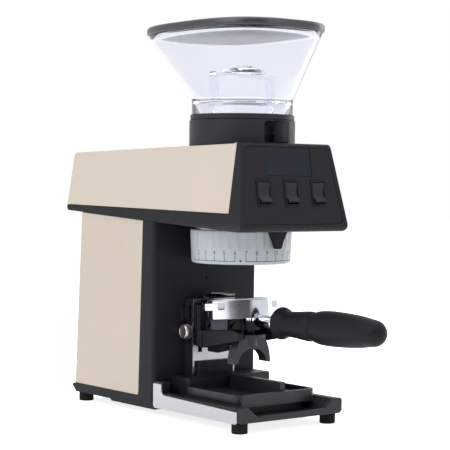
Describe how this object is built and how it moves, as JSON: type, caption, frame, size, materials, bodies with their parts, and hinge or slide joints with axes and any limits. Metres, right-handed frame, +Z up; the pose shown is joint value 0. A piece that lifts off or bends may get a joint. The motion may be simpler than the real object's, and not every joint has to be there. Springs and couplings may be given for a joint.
{
  "type": "burr coffee grinder",
  "caption": "Upright burr coffee grinder with a clear bean hopper, a stepped grind dial, paddle switches, a drip tray and a height-adjustable fork holding a portafilter.",
  "frame": {"origin": "on the floor, under the middle of the footprint measured with the portafilter in its fork", "axes": "+Z up, -Y the front where the display, the switches and the portafilter handle are, +X the right-hand side of someone who faces the front and looks along +Y"},
  "size_m": [0.1346, 0.3992, 0.3788],
  "materials": {
    "satin_black": "satin black moulded or coated surface",
    "soft_black": "matt black rubber",
    "grip_black": "soft-touch black",
    "beige_paint": "smooth warm beige coating",
    "bright_bar": "fine brushed, bright",
    "polished": "polished",
    "steel": "brushed steel",
    "cast_alloy": "machined alloy",
    "screen": "dark display glass",
    "dial_grey": "light grey satin plastic",
    "clear_hopper": "clear moulded hopper",
    "smoke_lid": "dark smoke gloss",
    "circuit_board": "green lacquered board"
  },
  "bodies": {
    "housing": {"base_frame": "satin_black", "front_bar": "satin_black", "side_bar_left": "bright_bar", "side_bar_right": "bright_bar", "base_riser": "satin_black", "feet": "soft_black", "foot_screws": "steel", "bracket_shell": "satin_black", "bracket_plate": "polished", "bracket_foot": "steel", "rim_clip": "polished", "column_shell": "satin_black", "column_panel_left": "beige_paint", "column_panel_right": "beige_paint", "column_screw": "steel", "rear_cover": "satin_black", "power_inlet": "grip_black", "power_board": "circuit_board", "motor_housing": "steel", "motor_mount": "steel", "motor_bolts": "steel", "head_chassis": "satin_black", "head_cover": "beige_paint", "front_panel": "satin_black", "display_window": "screen", "display_board": "circuit_board", "switch_frames": "grip_black", "dial_pointer": "grip_black", "burr_chamber": "cast_alloy", "shaft_bearings": "polished", "bearing_spider": "cast_alloy", "drive_belt": "soft_black", "grounds_chute": "grip_black", "feed_tube": "grip_black", "bean_collar": "grip_black"},
    "tray": {"drip_tray": "satin_black"},
    "fork": {"fork_carriage": "satin_black", "fork_arms": "satin_black", "fork_pads": "soft_black"},
    "knob": {"clamp_knob": "polished"},
    "portafilter": {"portafilter_body": "polished", "portafilter_basket": "steel", "portafilter_spout": "grip_black", "portafilter_handle": "grip_black"},
    "motor_shaft": {"motor_rotor": "steel", "motor_pulley": "cast_alloy"},
    "paddle_left": {"switch_left": "satin_black"},
    "paddle_centre": {"switch_centre": "satin_black"},
    "paddle_right": {"switch_right": "satin_black"},
    "dial": {"adjustment_dial": "dial_grey"},
    "carrier": {"burr_carrier": "cast_alloy", "ring_burr": "steel"},
    "burrs": {"cone_burr": "steel", "burr_shaft": "steel", "drive_pulley": "cast_alloy"},
    "gate": {"bean_gate": "grip_black"},
    "bean_hopper": {"hopper": "clear_hopper", "hopper_ring": "grip_black", "finger_guard": "clear_hopper"},
    "lid": {"hopper_lid": "smoke_lid"}
  },
  "joints": [
    {"name": "lid_lift", "type": "slide", "parent": "bean_hopper", "child": "lid", "axis": [0, 0, 1], "range_m": [0, 0.06]},
    {"name": "hopper_twist", "type": "hinge", "parent": "housing", "child": "bean_hopper", "pos_m": [0, -0.01237, 0.29], "axis": [0, 0, 1], "range_deg": [0, 25]},
    {"name": "gate_turn", "type": "hinge", "parent": "housing", "child": "gate", "pos_m": [0, -0.01237, 0.274], "axis": [0, 0, 1], "range_deg": [-14.5, 8.5]},
    {"name": "dial_turn", "type": "hinge", "parent": "housing", "child": "dial", "pos_m": [0, -0.01237, 0.167], "axis": [0, 0, 1], "range_deg": [-170, 170]},
    {"name": "carrier_lift", "type": "slide", "parent": "housing", "child": "carrier", "axis": [0, 0, 1], "range_m": [-0.00072, 0.00072]},
    {"name": "motor_spin", "type": "hinge", "parent": "housing", "child": "motor_shaft", "pos_m": [0, 0.10613, 0.2], "axis": [0, 0, 1], "continuous": true},
    {"name": "burr_spin", "type": "hinge", "parent": "housing", "child": "burrs", "pos_m": [0, -0.01237, 0.2], "axis": [0, 0, 1], "continuous": true},
    {"name": "switch_left_press", "type": "hinge", "parent": "housing", "child": "paddle_left", "pos_m": [-0.033, -0.08015, 0.22455], "axis": [1, 0, 0], "range_deg": [0, 8], "stiffness_Nm_per_rad": 0.08},
    {"name": "switch_centre_press", "type": "hinge", "parent": "housing", "child": "paddle_centre", "pos_m": [0, -0.08015, 0.22455], "axis": [1, 0, 0], "range_deg": [0, 8], "stiffness_Nm_per_rad": 0.08},
    {"name": "switch_right_press", "type": "hinge", "parent": "housing", "child": "paddle_right", "pos_m": [0.033, -0.08015, 0.22455], "axis": [1, 0, 0], "range_deg": [0, 8], "stiffness_Nm_per_rad": 0.08},
    {"name": "fork_height", "type": "slide", "parent": "housing", "child": "fork", "axis": [0, 0, 1], "range_m": [-0.008, 0.001]},
    {"name": "knob_turn", "type": "hinge", "parent": "fork", "child": "knob", "pos_m": [-0.026, 0.03428, 0.082], "axis": [1, 0, 0], "range_deg": [-180, 180]},
    {"name": "portafilter_slide", "type": "slide", "parent": "fork", "child": "portafilter", "axis": [0, -0.9962, 0.0872], "range_m": [0, 0.09]},
    {"name": "tray_slide", "type": "slide", "parent": "housing", "child": "tray", "axis": [0, -0.9701, 0.2425], "range_m": [0, 0.045]}
  ],
  "couplings": [
    {"joint": "carrier_lift", "follows": "dial_turn", "m_per_rad": 0.0002387},
    {"joint": "burr_spin", "follows": "motor_spin", "ratio": 0.33993}
  ]
}
